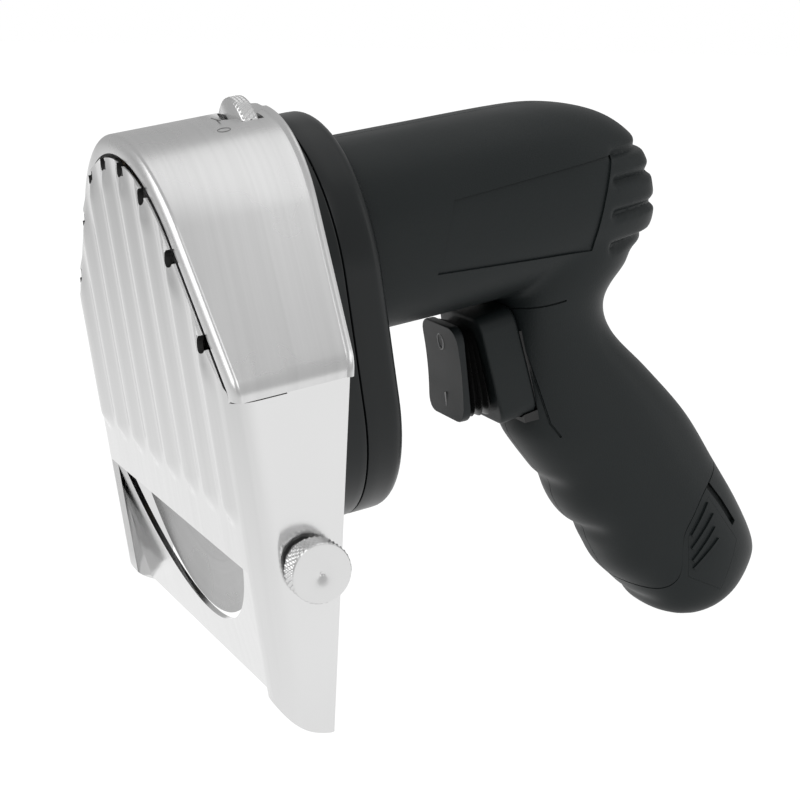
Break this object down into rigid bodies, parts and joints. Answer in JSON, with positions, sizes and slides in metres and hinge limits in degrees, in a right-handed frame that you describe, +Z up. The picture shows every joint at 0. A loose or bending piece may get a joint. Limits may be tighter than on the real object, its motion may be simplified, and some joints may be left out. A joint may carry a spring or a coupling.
{
  "type": "electric kebab slicer",
  "caption": "Cordless pistol-grip meat slicer with a round blade behind a ribbed thickness guide, a geared motor in the barrel, a paddle switch and a slide-out battery.",
  "frame": {"origin": "middle of the footprint, on the surface that the tool stands on", "axes": "+X rearwards from the blade to the battery, +Y to the tool's left, +Z up"},
  "size_m": [0.18, 0.132, 0.1352],
  "materials": {
    "band_steel": "satin",
    "guide_steel": "polished",
    "blade_steel": "satin",
    "knurled_chrome": "polished",
    "zinc_steel": "satin",
    "gear_steel": "ground",
    "nut_brass": "turned",
    "copper": "bare",
    "magnet": "bare",
    "gearbox_black": "glossy",
    "shell_black": "satin",
    "switch_grey": "satin",
    "inner_black": "matte",
    "boot_rubber": "satin",
    "cell_wrap": "satin",
    "board_green": "satin"
  },
  "bodies": {
    "body": {"gearbox_cover": "gearbox_black", "gearbox_cup": "gearbox_black", "head_screw_1": "zinc_steel", "head_screw_2": "zinc_steel", "head_screw_3": "zinc_steel", "head_screw_4": "zinc_steel", "blade_housing": "band_steel", "front_bearing": "zinc_steel", "rear_bearing": "zinc_steel", "shaft_seal": "boot_rubber", "motor_can": "zinc_steel", "motor_end_cap": "inner_black", "motor_magnet_right": "magnet", "motor_magnet_left": "magnet", "motor_brush_right": "inner_black", "motor_brush_left": "inner_black", "motor_screw_right": "zinc_steel", "motor_screw_left": "zinc_steel", "right_shell": "shell_black", "left_shell": "shell_black", "shell_screw_1": "zinc_steel", "shell_screw_2": "zinc_steel", "shell_screw_3": "zinc_steel", "shell_screw_4": "zinc_steel", "shell_screw_5": "zinc_steel", "switch_bezel": "switch_grey", "rocker_bellows": "boot_rubber", "switch_body": "inner_black", "rocker_pin": "zinc_steel", "terminal_block": "inner_black", "control_board": "board_green"},
    "blade_drive": {"blade": "blade_steel", "blade_washer": "zinc_steel", "blade_screw": "zinc_steel", "blade_shaft": "zinc_steel", "drive_gear": "gear_steel"},
    "motor_shaft": {"motor_rotor": "copper", "motor_pinion": "zinc_steel"},
    "guide": {"thickness_guide": "guide_steel", "adjuster_nut": "nut_brass"},
    "adjuster": {"thickness_wheel": "knurled_chrome", "adjuster_spindle": "zinc_steel"},
    "lock_slide_right": {"lock_washer_right": "zinc_steel"},
    "lock_right": {"lock_knob_right": "knurled_chrome"},
    "lock_slide_left": {"lock_washer_left": "zinc_steel"},
    "lock_left": {"lock_knob_left": "knurled_chrome"},
    "rocker": {"rocker_paddle": "switch_grey"},
    "battery": {"battery_cap": "shell_black", "battery_tray": "inner_black", "battery_cell_front": "cell_wrap", "battery_cell_rear": "cell_wrap", "battery_contact": "copper", "latch_spring_right": "zinc_steel", "latch_spring_left": "zinc_steel"},
    "latch_right": {"battery_latch_right": "shell_black"},
    "latch_left": {"battery_latch_left": "shell_black"}
  },
  "joints": [
    {"name": "blade_spin", "type": "hinge", "parent": "body", "child": "blade_drive", "pos_m": [-0.07697, 0, 0.06067], "axis": [0.9826, 0, 0.1857], "continuous": true},
    {"name": "motor_spin", "type": "hinge", "parent": "body", "child": "motor_shaft", "pos_m": [-0.08291, 0, 0.09211], "axis": [0.9826, 0, 0.1857], "continuous": true},
    {"name": "wheel_turn", "type": "hinge", "parent": "body", "child": "adjuster", "pos_m": [-0.08785, 0, 0.11825], "axis": [0.9826, 0, 0.1857], "range_deg": [0, 720]},
    {"name": "guide_slide", "type": "slide", "parent": "body", "child": "guide", "axis": [-0.9826, 0, -0.1857], "range_m": [0, 0.004]},
    {"name": "lock_slide_right", "type": "slide", "parent": "body", "child": "lock_slide_right", "axis": [0, -1, 0], "range_m": [0, 0.0021]},
    {"name": "lock_turn_right", "type": "hinge", "parent": "lock_slide_right", "child": "lock_right", "pos_m": [-0.06127, -0.06, 0.03951], "axis": [0, -1, 0], "range_deg": [0, 1080]},
    {"name": "lock_slide_left", "type": "slide", "parent": "body", "child": "lock_slide_left", "axis": [0, 1, 0], "range_m": [0, 0.0021]},
    {"name": "lock_turn_left", "type": "hinge", "parent": "lock_slide_left", "child": "lock_left", "pos_m": [-0.06127, 0.06, 0.03951], "axis": [0, 1, 0], "range_deg": [0, 1080]},
    {"name": "rocker_tilt", "type": "hinge", "parent": "body", "child": "rocker", "pos_m": [0.00844, 0, 0.06917], "axis": [0, -1, 0], "range_deg": [0, 10], "deforming": ["rocker_bellows"]},
    {"name": "battery_slide", "type": "slide", "parent": "body", "child": "battery", "axis": [0.6252, 0, -0.7804], "range_m": [0, 0.07]},
    {"name": "latch_press_right", "type": "slide", "parent": "battery", "child": "latch_right", "axis": [0, 1, 0], "range_m": [0, 0.0015], "stiffness_N_per_m": 600, "springref_m": -0.002},
    {"name": "latch_press_left", "type": "slide", "parent": "battery", "child": "latch_left", "axis": [0, -1, 0], "range_m": [0, 0.0015], "stiffness_N_per_m": 600, "springref_m": -0.002}
  ],
  "couplings": [
    {"joint": "motor_spin", "follows": "blade_spin", "ratio": -3},
    {"joint": "wheel_turn", "follows": "guide_slide", "rad_per_m": 3141.6},
    {"joint": "lock_turn_right", "follows": "lock_slide_right", "rad_per_m": 8975.9},
    {"joint": "lock_turn_left", "follows": "lock_slide_left", "rad_per_m": 8975.9}
  ]
}
